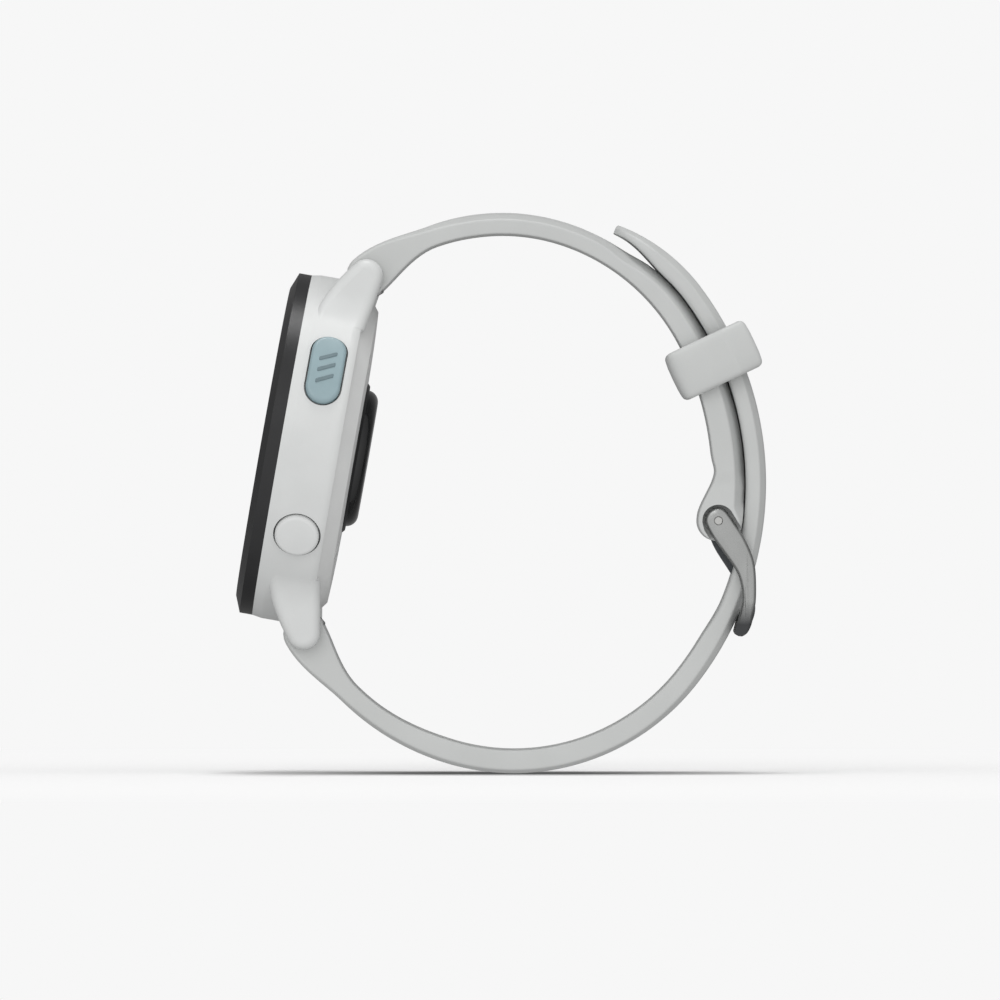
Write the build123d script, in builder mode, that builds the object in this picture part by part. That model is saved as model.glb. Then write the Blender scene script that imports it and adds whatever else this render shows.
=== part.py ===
from build123d import *
import os
from math import cos, radians, sin

# GPS running watch with its strap buckled, lying on the strap with the display facing -X.
# Millimetres, +Z up, +Y through the wrist opening; the three o'clock side faces -Y.

# ---------------------------------------------------------------- case: driving dimensions
case_tilt = 10.0              # the display leans back from upright by this angle
case_x = -29.84               # centre of the bezel's front plane
case_z = 41.37
bezel_radius = 21.5
bezel_depth = 2.4             # depths are measured from the bezel's front plane, inwards
bezel_chamfer_depth = 0.8
bezel_chamfer_width = 2.0
glass_radius = 17.35
glass_gap = 0.1
glass_top = 0.3
glass_thickness = 1.2
adhesive_thickness = 0.25
display_radius = 15.7
display_bottom = 3.3
wall_radius = 21.7
wall_taper_depth = 8.7
wall_back_radius = 21.35
wall_back_depth = 9.7
cavity_radius = 18.2
ledge_radius = 14.2
ledge_top = 3.7
ledge_bottom = 4.3
display_opening_radius = 16.3
seal_wire = 0.6
seal_groove_width = 0.7
front_seal_radius = 19.0
back_seal_radius = 18.9

cover_radius = 20.6
cover_rim_radius = 19.4
cover_rim_depth = 10.6
cover_face_radius = 18.4
cover_face_depth = 11.35
back_depth = 11.6
cover_thickness = 1.3
cover_lip_radius = 17.6       # the cover reaches into the case inside this radius
screw_circle = 16.5           # radius on which the four screws stand
screw_post_radius = 1.9
screw_radius = 0.65
screw_head_radius = 1.2
screw_head_height = 0.6
screw_socket = 0.5
screw_sink = 0.35             # how far the screw heads lie below the back
screw_length = 4.0
lens_ring_radius = 9.4
lens_radius = 8.6
lens_flat_radius = 7.0
lens_depth = 13.25
lens_rim = 1.35               # how far the lens's edge and its ring stay below the lens's face
lens_back_depth = 10.8        # inner face of the lens
port_y = -13.6
port_length = 8.6
port_width = 3.8
port_sink = 0.2               # how far the port's insert lies below the cover
contact_pitch = 1.5
contact_radius = 0.38

# ---------------------------------------------------------------- lugs and spring bars
strap_width = 20.0
lug_gap = 0.15
lug_outer = 12.8              # outer face of a lug, measured from the middle of the strap
bar_reach = 22.65             # spring bar centres, above and below the case centre
bar_depth = 9.25
lug_rim_fillet = 1.2
lug_inner_fillet = 0.6
lug_blend_radius = 6.0
strap_end_radius = 2.65
strap_end_turn = 20.0
strap_seat_gap = 0.3
bar_tube_radius = 0.9
bar_bore_radius = 0.65
bar_tip_radius = 0.45
bar_tip_reach = 11.2
bar_travel = 1.3
fit_gap = 0.05                # radial clearance of the running fits
knob_reach = 2.9
knob_radius = 0.8
knob_y = -5.6

# ---------------------------------------------------------------- buttons
button_depth = 6.35
button_gap = 0.2
button_travel = 0.6
button_proud = 0.6            # how far a cap stands out of the wall
cap_floor = 20.4              # radius of the recess floor under a cap
cap_under = cap_floor + button_travel + 0.05      # radius of a cap's underside
stem_radius = 0.9
stem_end = 17.0
clip_radius = 1.75
clip_thickness = 0.25
clip_groove = 0.2             # depth of the groove that the clip snaps into
spring_seat_radius = 1.7
spring_seat_depth = 0.9       # below the floor of the cap's recess
spring_radius = 1.3
spring_wire = 0.11            # radius of the wire
button_seal_radius = 1.55
button_seal_depth = 1.4       # below the floor of the cap's recess
button_seal_width = 0.6
spring_pitch = 0.3
spring_length = 0.6           # of a pressed button's spring
switch_face = 16.3
pill_length = 9.3
pill_width = 4.3
round_cap = 5.5
side_cap_length = 7.0
side_cap_width = 4.0
button_angles = {"run_button": 28.0, "back_button": -29.5,
                 "light_button": 150.0, "up_button": 180.0, "down_button": 210.0}

# ---------------------------------------------------------------- inside the case
board_depth = 5.1             # back face of the main board
board_radius = 16.2
board_thickness = 0.7
post_clearance_radius = 2.2
battery_depth = 9.1
battery_size = (19.0, 18.0, 3.2)
battery_corner = 1.5
battery_y = 4.0
antenna_radius = 16.0
antenna_thickness = 0.3
antenna_depth = 3.65
antenna_height = 1.1
motor_x = -3.6
motor_y = -10.6
motor_top = 6.2
motor_bottom = 9.0
motor_radius = 4.0
motor_wall = 0.3
motor_shaft_radius = 0.35
beeper_x = 5.4
beeper_depth = 9.2
beeper_thickness = 0.4

# ---------------------------------------------------------------- straps
strap_thickness = 2.6
upper_heading = 42.4          # each strap leaves its bar on this heading, in degrees
upper_arcs = [(24.9, -60.4), (27.0, -45.3), (39.1, -27.8)]      # radius and turn, in line
lower_heading = -62.25
lower_arcs = [(30.35, 45.9), (27.65, 68.4), (39.4, 74.6), (21.9, 32.5)]
tip_taper_turn = 21.0         # part of the last arc over which the tip thins
tip_thickness = 1.2
upper_middle_half = 9.0
lower_middle_half = 8.1
bulge_radius = 2.54
hole_length = 5.4
hole_width = 2.4
hole_pitch = 6.8
hole_count = 12
first_hole = 37.0             # from the spring bar to the middle of the hole nearest the case
tip_corner = 6.0              # rounding of the free end, seen from above
tip_half = 3.4                # half the width of its blunt middle
tip_height = 60.0             # the free end is the only stretch of this strap above here

# ---------------------------------------------------------------- buckle and keeper
pin_x = 26.84
pin_z = 31.52
arm_inner = 8.4
arm_outer = 10.0
arm_eye_radius = 1.65
pin_radius = 0.8
pin_tip_radius = 0.45
tongue_half = 0.95
tongue_thickness = 0.8
tongue_eye_radius = 1.5
bar_x = 30.0                  # middle of the buckle's crossbar
bar_z = 18.6
bar_angle = 63.0
bar_length = 3.0
bar_thickness = 1.3
bar_notch = 0.265             # how far past its middle the crossbar is cut down for the tongue
keeper_x = 26.33
keeper_z = 51.5
keeper_heading = -64.8
keeper_length = 6.25
keeper_height = 11.0
keeper_wall = 1.9
keeper_half = 11.2
keeper_inner_half = 9.35

os.makedirs("parts", exist_ok=True)

# ---------------------------------------------------------------- planes of the tilted case
tilt = radians(case_tilt)
case_plane = Plane(origin=(case_x, 0, case_z), x_dir=(0, -1, 0), z_dir=(-cos(tilt), 0, sin(tilt)))
case_axis = Axis(case_plane.origin, case_plane.z_dir)
# Half section: local x is the radius, local y runs out through the display.
section_plane = Plane(case_plane.origin, x_dir=case_plane.x_dir, z_dir=-case_plane.y_dir)
# Side section: local x runs to twelve o'clock, local y out through the display.
side_plane = Plane(case_plane.origin, x_dir=case_plane.y_dir, z_dir=case_plane.x_dir)


def case_point(across, up, depth):
    """A point of the case: across to three o'clock, up to twelve o'clock, depth inwards."""
    return case_plane.from_local_coords(Vector(across, up, -depth))


def case_direction(across, up, depth):
    return case_point(across, up, depth) - case_plane.origin


def at_depth(depth):
    return case_plane.offset(-depth)


def bar_plane(side):
    """Plane across a spring bar at its middle: local x runs to twelve o'clock, local z to three."""
    return Plane(case_point(0, side * bar_reach, bar_depth), x_dir=case_plane.y_dir, z_dir=case_plane.x_dir)


def ring(radius, width):
    """A flat ring of the given middle radius."""
    Circle(radius + width / 2)
    Circle(radius - width / 2, mode=Mode.SUBTRACT)


def half_section(*corners):
    """A closed outline of (radius, depth) corners, ready to revolve about the case axis."""
    Polygon(*[(radius, -depth) for radius, depth in corners], align=None)


def save(piece, name):
    piece.part.label = name
    export_step(piece.part, f"parts/{name}.step")


# ================================================================ front of the case
with BuildPart() as bezel:
    ledge_depth = glass_top + glass_thickness + adhesive_thickness
    with BuildSketch(section_plane):
        half_section((glass_radius + glass_gap, 0), (bezel_radius - bezel_chamfer_width, 0),
                     (bezel_radius, bezel_chamfer_depth), (bezel_radius, bezel_depth),
                     (display_radius + 0.2, bezel_depth), (display_radius + 0.2, ledge_depth),
                     (glass_radius + glass_gap, ledge_depth))
    revolve(axis=case_axis)
save(bezel, "bezel")

with BuildPart() as cover_glass:
    with BuildSketch(at_depth(glass_top + glass_thickness)):
        Circle(glass_radius)
    extrude(amount=glass_thickness)
    chamfer(cover_glass.edges().sort_by(case_axis)[-1], length=0.2)
save(cover_glass, "cover_glass")

with BuildPart() as glass_adhesive:
    with BuildSketch(at_depth(ledge_depth)):
        Circle(glass_radius - 0.1)
        Circle(display_radius + 0.3, mode=Mode.SUBTRACT)
    extrude(amount=adhesive_thickness)
save(glass_adhesive, "glass_adhesive")

with BuildPart() as display_module:
    with BuildSketch(at_depth(display_bottom)):
        Circle(display_radius)
    extrude(amount=display_bottom - glass_top - glass_thickness - 0.05)
    with BuildSketch(at_depth(display_bottom)):
        with Locations((0, -display_radius + 2.2)):
            Rectangle(9, 2.4)
    extrude(amount=-0.3)
save(display_module, "display_module")

with BuildPart() as bezel_seal:
    with BuildSketch(at_depth(bezel_depth + seal_wire - 0.05)):
        ring(front_seal_radius, seal_wire)
    extrude(amount=seal_wire - 0.05)
save(bezel_seal, "bezel_seal")


# ================================================================ middle of the case
def button_plane(angle, radius=0.0):
    """Plane of a button: local z points radially outwards, local x along the wall."""
    out = case_direction(cos(radians(angle)), sin(radians(angle)), 0)
    along = case_direction(-sin(radians(angle)), cos(radians(angle)), 0)
    return Plane(case_point(0, 0, button_depth) + out * radius, x_dir=along, z_dir=out)


def cap_outline(name, extra):
    """Outline of a button cap, grown by extra all round."""
    if name == "run_button":
        SlotOverall(pill_length + 2 * extra, pill_width + 2 * extra)
    elif name == "back_button":
        Circle(round_cap / 2 + extra)
    else:
        SlotOverall(side_cap_length + 2 * extra, side_cap_width + 2 * extra)


def is_lug_rim(edge, outer):
    """Whether an edge runs round the outer side of a lug, or round its side that faces the strap."""
    spot = case_plane.to_local_coords(edge.center())
    runs_deep = edge.geom_type == GeomType.LINE and abs((edge % 0.5).dot(case_plane.z_dir)) > 0.99
    if outer:
        return not runs_deep and abs(spot.X) > lug_outer - 0.2 and abs(spot.Y) < bar_reach + 2.35
    return not runs_deep and abs(spot.X) < lug_inner + 0.15 and abs(spot.Y) > 19.0


with BuildPart() as lug_blanks:
    # Seen from the front: four horns, each flowing into the round case with one arc.
    with BuildSketch(at_depth(back_depth + 0.2)):
        blend_y = ((wall_radius + lug_blend_radius) ** 2 - (lug_outer + lug_blend_radius) ** 2) ** 0.5
        foot = wall_radius / (wall_radius + lug_blend_radius)
        foot_x = (lug_outer + lug_blend_radius) * foot
        foot_y = blend_y * foot
        lug_inner = strap_width / 2 + lug_gap
        with BuildLine():
            start = (foot_x, foot_y)
            shoulder = (lug_outer, blend_y)
            RadiusArc(start, shoulder, lug_blend_radius)
            Polyline(shoulder, (lug_outer - 0.1, bar_reach + 3), (lug_inner, bar_reach + 3),
                     (lug_inner, 15.7), (12.2, 13.9), start)
        make_face()
        mirror(about=Plane.YZ)
        mirror(about=Plane.XZ)
    extrude(amount=back_depth)
    # Seen from the side: the horns curve back and down to the spring bars.
    with BuildSketch(side_plane):
        with BuildLine():
            top = Spline((12.0, -2.6), (15.1, -3.3), (18.0, -4.1), (21.5, -5.9), (24.0, -7.72))
            end = RadiusArc(top @ 1, (22.1, -11.22), 2.1)
            Polyline(end @ 1, (12.0, -9.55), top @ 0)
        make_face()
        mirror(about=Plane.YZ)
    extrude(amount=lug_outer + 3, both=True, mode=Mode.INTERSECT)
    fillet([edge for edge in lug_blanks.edges() if is_lug_rim(edge, outer=True)], radius=lug_rim_fillet)
    fillet([edge for edge in lug_blanks.edges() if is_lug_rim(edge, outer=False)], radius=lug_inner_fillet)

with BuildPart() as case_middle:
    with BuildSketch(section_plane):
        with BuildLine():
            outline = Polyline((wall_back_radius, -wall_back_depth), (cavity_radius, -wall_back_depth),
                               (cavity_radius, -ledge_bottom), (ledge_radius, -ledge_bottom),
                               (ledge_radius, -ledge_top), (display_opening_radius, -ledge_top),
                               (display_opening_radius, -bezel_depth), (wall_radius - 0.2, -bezel_depth),
                               (wall_radius, -bezel_depth - 1.2), (wall_radius, -wall_taper_depth))
            TangentArc(outline @ 1, outline @ 0, tangent=outline % 1)
        make_face()
    revolve(axis=case_axis)
    # Posts that take the back cover's screws.
    with BuildSketch(at_depth(wall_back_depth)):
        with PolarLocations(screw_circle, 4, start_angle=45):
            Circle(screw_post_radius)
    extrude(amount=wall_back_depth - ledge_bottom)
    add(lug_blanks.part)
    with BuildSketch(at_depth(back_depth + 0.2)):
        Circle(cover_radius + 0.1)
    extrude(amount=back_depth + 0.2 - wall_back_depth, mode=Mode.SUBTRACT)
    # Seats for the strap ends between the lugs, and blind holes for the spring bar tips.
    for side in (1, -1):
        with BuildSketch(bar_plane(side)):
            Circle(strap_end_radius + strap_seat_gap)
        extrude(amount=strap_width / 2 + lug_gap, both=True, mode=Mode.SUBTRACT)
        with BuildSketch(bar_plane(side)):
            Circle(bar_tip_radius + fit_gap)
        extrude(amount=bar_tip_reach + 0.15, both=True, mode=Mode.SUBTRACT)
    # Seal grooves, front and back.
    with BuildSketch(at_depth(bezel_depth + seal_wire)):
        ring(front_seal_radius, seal_groove_width)
    extrude(amount=seal_wire, mode=Mode.SUBTRACT)
    with BuildSketch(at_depth(wall_back_depth)):
        ring(back_seal_radius, seal_groove_width)
    extrude(amount=seal_wire, mode=Mode.SUBTRACT)
    with BuildSketch(at_depth(wall_back_depth)):
        with PolarLocations(screw_circle, 4, start_angle=45):
            Circle(screw_radius + fit_gap)
    extrude(amount=screw_length - 0.4, mode=Mode.SUBTRACT)
    # A recess, a stem bore and two counterbores for each button.
    for name, angle in button_angles.items():
        with BuildSketch(button_plane(angle, cap_floor)):
            cap_outline(name, button_gap)
        extrude(amount=3, mode=Mode.SUBTRACT)
        with BuildSketch(button_plane(angle, cavity_radius - 1)):
            Circle(stem_radius + fit_gap)
        extrude(amount=5, mode=Mode.SUBTRACT)
        with BuildSketch(button_plane(angle, cap_floor - spring_seat_depth)):
            Circle(spring_seat_radius)
        extrude(amount=2, mode=Mode.SUBTRACT)
        with BuildSketch(button_plane(angle, cap_floor - button_seal_depth)):
            Circle(button_seal_radius + fit_gap)
        extrude(amount=-2, mode=Mode.SUBTRACT)
save(case_middle, "case_middle")

# ================================================================ buttons
for name, angle in button_angles.items():
    with BuildPart() as button:
        with BuildSketch(button_plane(angle, cap_under)):
            cap_outline(name, 0)
        extrude(amount=2.5)
        with BuildSketch(at_depth(back_depth)):
            Circle(wall_radius + button_proud)
        extrude(amount=back_depth, mode=Mode.INTERSECT)
        face_out = button.faces().sort_by(Axis(case_axis.position, case_direction(
            cos(radians(angle)), sin(radians(angle)), 0)))[-1]
        fillet(face_out.edges(), radius=0.45)
        with BuildSketch(button_plane(angle, stem_end)):
            Circle(stem_radius)
        extrude(amount=cap_under - stem_end + 0.1)
        with BuildSketch(button_plane(angle, cavity_radius - 0.15 - clip_thickness)):
            Circle(stem_radius + 0.1)
            Circle(stem_radius - clip_groove, mode=Mode.SUBTRACT)
        extrude(amount=clip_thickness, mode=Mode.SUBTRACT)
    save(button, name)
    with BuildPart() as clip:
        with BuildSketch(button_plane(angle, cavity_radius - 0.15 - clip_thickness)):
            Circle(clip_radius)
            Circle(stem_radius - clip_groove, mode=Mode.SUBTRACT)
            with Locations((0, -clip_radius)):
                Rectangle(1.0, 2 * clip_radius, mode=Mode.SUBTRACT)
        extrude(amount=clip_thickness)
    save(clip, f"{name}_clip")

with BuildPart() as button_seals:
    for angle in button_angles.values():
        with BuildSketch(button_plane(angle, cap_floor - button_seal_depth - fit_gap)):
            Circle(button_seal_radius)
            Circle(stem_radius + fit_gap, mode=Mode.SUBTRACT)
        extrude(amount=-button_seal_width)
save(button_seals, "button_seals")

with BuildPart() as button_springs:
    for angle in button_angles.values():
        seat = button_plane(angle, cap_floor - spring_seat_depth + 0.15)
        with BuildLine():
            coil = Helix(spring_pitch, spring_length, spring_radius, center=seat.origin, direction=seat.z_dir)
        with BuildSketch(Plane(coil @ 0, z_dir=coil % 0)):
            Circle(spring_wire)
        sweep(path=coil, is_frenet=True)
save(button_springs, "button_springs")

with BuildPart() as button_switches:
    for angle in button_angles.values():
        with BuildSketch(button_plane(angle, switch_face - 1.6)):
            Rectangle(3.0, 1.6)
        extrude(amount=1.2)
        with BuildSketch(button_plane(angle, switch_face - 0.4)):
            Circle(0.6)
        extrude(amount=0.4)
save(button_switches, "button_switches")

# ================================================================ inside the case
with BuildPart() as main_board:
    with BuildSketch(at_depth(board_depth)):
        Circle(board_radius)
        with PolarLocations(screw_circle, 4, start_angle=45):
            Circle(post_clearance_radius, mode=Mode.SUBTRACT)
    extrude(amount=board_thickness)
    # A processor and a connector on its back face.
    with BuildSketch(at_depth(board_depth)):
        with Locations((-8.2, -6.6)):
            Rectangle(5, 5)
        with Locations((1.5, -14.0)):
            Rectangle(6, 1.6)
    extrude(amount=-0.7)
save(main_board, "main_board")

with BuildPart() as battery:
    with BuildSketch(at_depth(battery_depth)):
        with Locations((0, battery_y)):
            RectangleRounded(battery_size[0], battery_size[1], battery_corner)
    extrude(amount=battery_size[2])
save(battery, "battery")

with BuildPart() as gps_antenna:
    with BuildSketch(at_depth(antenna_depth)):
        ring(antenna_radius, antenna_thickness)
        with Locations((0, -antenna_radius)):
            Rectangle(4, 3, mode=Mode.SUBTRACT)
    extrude(amount=antenna_height)
save(gps_antenna, "gps_antenna")

with BuildPart() as vibration_motor_can:
    with BuildSketch(at_depth(motor_bottom)):
        with Locations((motor_x, motor_y)):
            Circle(motor_radius)
    extrude(amount=motor_bottom - motor_top)
    with BuildSketch(at_depth(motor_bottom - motor_wall)):
        with Locations((motor_x, motor_y)):
            Circle(motor_radius - motor_wall)
    extrude(amount=motor_bottom - motor_top - 2 * motor_wall, mode=Mode.SUBTRACT)
    with BuildSketch(at_depth(motor_bottom - 0.1)):
        with Locations((motor_x, motor_y)):
            Circle(motor_shaft_radius)
    extrude(amount=motor_bottom - motor_top - 0.2)
save(vibration_motor_can, "vibration_motor_can")

with BuildPart() as vibration_motor_weight:
    with BuildSketch(at_depth(motor_bottom - 0.55)):
        with Locations((motor_x, motor_y)):
            Circle(motor_radius - 2 * motor_wall)
            Circle(motor_shaft_radius + fit_gap, mode=Mode.SUBTRACT)
        with Locations((motor_x, motor_y - 2.4)):
            Rectangle(8, 3.0, mode=Mode.SUBTRACT)
    extrude(amount=motor_bottom - motor_top - 1.1)
save(vibration_motor_weight, "vibration_motor_weight")

with BuildPart() as beeper_disc:
    with BuildSketch(at_depth(beeper_depth)):
        with Locations((beeper_x, motor_y)):
            Circle(motor_radius)
    extrude(amount=beeper_thickness)
save(beeper_disc, "beeper_disc")

# ================================================================ back of the case
with BuildPart() as back_cover:
    cover_inner = back_depth - cover_thickness
    with BuildSketch(section_plane):
        with BuildLine():
            opening = lens_ring_radius + fit_gap
            outline = Polyline((opening, -back_depth), (opening, -cover_inner),
                               (cover_lip_radius, -cover_inner), (cover_lip_radius, -wall_back_depth),
                               (cover_radius, -wall_back_depth),
                               (cover_rim_radius, -cover_rim_depth), (cover_face_radius, -cover_face_depth))
            ThreePointArc(outline @ 1, (14.5, -back_depth + 0.06), outline @ 0)
        make_face()
    revolve(axis=case_axis)
    with BuildSketch(at_depth(back_depth + 0.1)):
        with Locations((0, port_y)):
            SlotOverall(port_length, port_width)
    extrude(amount=2, mode=Mode.SUBTRACT)
    with BuildSketch(at_depth(back_depth)):
        with PolarLocations(screw_circle, 4, start_angle=45):
            Circle(screw_head_radius + 2 * fit_gap)
    extrude(amount=screw_sink + screw_head_height, mode=Mode.SUBTRACT)
    with BuildSketch(at_depth(back_depth)):
        with PolarLocations(screw_circle, 4, start_angle=45):
            Circle(screw_radius + 2 * fit_gap)
    extrude(amount=3, mode=Mode.SUBTRACT)
    # Its rim makes room for the strap ends.
    for side in (1, -1):
        with BuildSketch(bar_plane(side)):
            Circle(strap_end_radius + strap_seat_gap)
        extrude(amount=strap_width / 2 + lug_gap, both=True, mode=Mode.SUBTRACT)
save(back_cover, "back_cover")

with BuildPart() as back_cover_seal:
    with BuildSketch(at_depth(wall_back_depth)):
        ring(back_seal_radius, seal_wire)
    extrude(amount=seal_wire - 0.05)
save(back_cover_seal, "back_cover_seal")

with BuildPart() as back_cover_screws:
    with BuildSketch(at_depth(back_depth - screw_sink)):
        with PolarLocations(screw_circle, 4, start_angle=45):
            Circle(screw_head_radius)
            RegularPolygon(screw_socket, 6, mode=Mode.SUBTRACT)
    extrude(amount=screw_head_height)
    with BuildSketch(at_depth(back_depth - screw_sink - screw_head_height)):
        with PolarLocations(screw_circle, 4, start_angle=45):
            Circle(screw_radius)
    extrude(amount=screw_length)
save(back_cover_screws, "back_cover_screws")

with BuildPart() as sensor_ring:
    with BuildSketch(section_plane):
        ring_top = lens_depth - lens_rim + fit_gap
        half_section((lens_radius + fit_gap, 9.95), (lens_ring_radius, 9.95),
                     (lens_ring_radius, ring_top - 0.25), (lens_ring_radius - 0.3, ring_top),
                     (lens_radius + fit_gap, ring_top))
    revolve(axis=case_axis)
save(sensor_ring, "sensor_ring")

with BuildPart() as sensor_lens:
    with BuildSketch(section_plane):
        with BuildLine():
            face = Polyline((lens_radius, -lens_depth + lens_rim), (lens_radius, -lens_back_depth),
                            (0, -lens_back_depth), (0, -lens_depth), (lens_flat_radius, -lens_depth))
            ThreePointArc(face @ 1, (8.2, -lens_depth + 0.45), face @ 0)
        make_face()
    revolve(axis=case_axis)
save(sensor_lens, "sensor_lens")

with BuildPart() as sensor_board:
    with BuildSketch(at_depth(10.3)):
        Circle(8.3)
    extrude(amount=0.6)
    with BuildSketch(at_depth(10.3)):
        Rectangle(2.4, 2.4)
        with PolarLocations(5.2, 6):
            Rectangle(2.0, 2.4)
    extrude(amount=-0.4)
save(sensor_board, "sensor_board")

with BuildPart() as charging_port:
    port_face = at_depth(back_depth - port_sink)
    with BuildSketch(port_face):
        with Locations((0, port_y)):
            SlotOverall(port_length - 0.1, port_width - 0.1)
    extrude(amount=1.5)
    with BuildSketch(port_face):
        with Locations((0, port_y)):
            SlotOverall(port_length - 1.2, port_width - 1.2)
    extrude(amount=0.9, mode=Mode.SUBTRACT)
    with BuildSketch(port_face):
        with Locations((0, port_y)):
            with GridLocations(contact_pitch, 1, 4, 1):
                Circle(contact_radius + 0.02)
    extrude(amount=2, mode=Mode.SUBTRACT)
save(charging_port, "charging_port")

with BuildPart() as charging_contacts:
    with BuildSketch(at_depth(back_depth - port_sink - 0.7)):
        with Locations((0, port_y)):
            with GridLocations(contact_pitch, 1, 4, 1):
                Circle(contact_radius)
    extrude(amount=1.1)
save(charging_contacts, "charging_contacts")


# ================================================================ straps
def arc_chain(start, heading, arcs, shift):
    """Draw arcs in line with one another, parallel to the chain and shifted to its left."""
    direction = Vector(1, 0).rotate(Axis.Z, heading)
    point = Vector(start) + Vector(-direction.Y, direction.X) * shift
    first = point
    for radius, turn in arcs:
        side = 1 if turn > 0 else -1
        arc = JernArc(point, direction, radius - side * shift, turn)
        point = arc @ 1
        direction = arc % 1
    return first, point


def bar_centre(side):
    centre = case_point(0, side * bar_reach, bar_depth)
    return (centre.X, centre.Z)


def knob_plane(side):
    """Plane through a spring bar at its knob: local z points along the knob, into the loop."""
    return Plane(case_point(-knob_y, side * bar_reach, bar_depth), x_dir=(0, 1, 0),
                 z_dir=case_direction(0, -0.77 * side, 0.64))


half = strap_thickness / 2


def strap_end(side, heading, arcs):
    """The thick end round a spring bar, thinning out along the first arc of the strap."""
    centre = Vector(bar_centre(side))
    radius, turn = arcs[0][0], 1 if arcs[0][1] > 0 else -1
    middle = centre + Vector(0, turn * radius).rotate(Axis.Z, heading)
    spoke = centre - middle
    reach = spoke.rotate(Axis.Z, turn * strap_end_turn)
    root = (centre - middle).normalized() * strap_end_radius
    Polygon(centre + root, middle + reach * (1 + half / radius), middle + reach * (1 - half / radius),
            centre - root, align=None)
    with Locations(centre):
        Circle(strap_end_radius)


def plan_outline(x_wide, x_narrow, narrow_half, x_far):
    """The strap's outline from above: full width at the case, narrower towards the buckle."""
    wide = strap_width / 2
    Polygon((-x_far, wide), (x_wide, wide), (x_narrow, narrow_half), (x_far, narrow_half),
            (x_far, -narrow_half), (x_narrow, -narrow_half), (x_wide, -wide), (-x_far, -wide), align=None)


def bar_openings(side):
    """Bore for the spring bar and the notch in which its release knob slides."""
    with Locations(Location(Plane(case_point(0, side * bar_reach, bar_depth), z_dir=(0, -1, 0)))):
        Cylinder(bar_tube_radius + fit_gap, 2 * strap_width, mode=Mode.SUBTRACT)
    with Locations(Location(knob_plane(side).offset(strap_end_radius / 2 + 0.5))):
        with Locations((bar_travel / 2, 0)):
            Box(2 * knob_radius + bar_travel + 0.6, 2 * knob_radius + 0.4, strap_end_radius + 1.0,
                mode=Mode.SUBTRACT)


with BuildLine() as lower_middle:
    arc_chain(bar_centre(-1), lower_heading, lower_arcs, 0)
hole_path = lower_middle.wires()[0]


def hole_plane(length):
    """A plane on the strap's middle, by its distance from the spring bar: local z is outwards."""
    spot = hole_path.position_at(length, PositionMode.LENGTH)
    along = hole_path.tangent_at(length, PositionMode.LENGTH)
    return Plane((spot.X, 0, spot.Y), x_dir=(along.X, 0, along.Y), z_dir=(along.Y, 0, -along.X))


def arm_outline():
    """Side view of a buckle arm, from its eye to the crossbar."""
    with Locations((pin_x, pin_z)):
        Circle(arm_eye_radius)
    Polygon((25.22, 31.3), (25.5, 30.5), (26.3, 29.25), (27.4, 27.7), (28.66, 25.94), (29.4, 24.4),
            (29.75, 22.6), (29.8, 21.2), (29.6, 19.9), (30.4, 18.2), (31.1, 19.3), (31.45, 21.3),
            (31.5, 24.2), (31.15, 26.6), (30.3, 28.8), (29.1, 30.9), (28.1, 32.55), align=None)


def arm_pocket():
    with Locations((pin_x, pin_z)):
        Circle(arm_eye_radius + 0.35)
    Polygon((24.85, 31.3), (25.1, 30.3), (27.4, 26.7), (31.3, 26.0), (31.0, 28.3), (29.5, 31.0),
            (28.4, 32.8), align=None)


with BuildPart() as upper_strap:
    with BuildSketch(Plane.XZ):
        with BuildLine():
            outer_start, outer_end = arc_chain(bar_centre(1), upper_heading, upper_arcs, half)
            inner_start, inner_end = arc_chain(bar_centre(1), upper_heading, upper_arcs, -half)
            Line(outer_start, inner_start)
            Line(outer_end, inner_end)
        make_face()
        strap_end(1, upper_heading, upper_arcs)
    extrude(amount=strap_width / 2, both=True)
    with BuildSketch(Plane.XY):
        plan_outline(-12, 14, upper_middle_half, 40)
    extrude(amount=80, mode=Mode.INTERSECT)
    # The end that holds the buckle pin, at full width.
    with BuildSketch(Plane.XZ):
        Polygon((26.45, 37.6), (25.7, 35.2), (24.7, 33.0), (pin_x, pin_z), (29.2, 32.3), (29.05, 36.4),
                align=None)
        with Locations((pin_x, pin_z)):
            Circle(bulge_radius)
    extrude(amount=arm_outer, both=True)
    bar_openings(1)
    # Bore for the pin, a slot for the tongue and a pocket for each arm of the buckle.
    with BuildSketch(Plane.XZ):
        with Locations((pin_x, pin_z)):
            Circle(pin_radius + fit_gap)
    extrude(amount=strap_width, both=True, mode=Mode.SUBTRACT)
    with BuildSketch(Plane.XZ):
        with Locations((pin_x, pin_z)):
            Circle(tongue_eye_radius + 0.3)
        Polygon((pin_x - 1.9, pin_z), (pin_x + 1.9, pin_z), (pin_x + 4, pin_z - 5), (pin_x - 1.2, pin_z - 5),
                align=None)
    extrude(amount=tongue_half + 0.25, both=True, mode=Mode.SUBTRACT)
    with BuildSketch(Plane.XZ.offset(arm_inner - 0.15)):
        arm_pocket()
    extrude(amount=4, mode=Mode.SUBTRACT)
    with BuildSketch(Plane.XZ.offset(-arm_inner + 0.15)):
        arm_pocket()
    extrude(amount=-4, mode=Mode.SUBTRACT)
save(upper_strap, "upper_strap")

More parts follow.
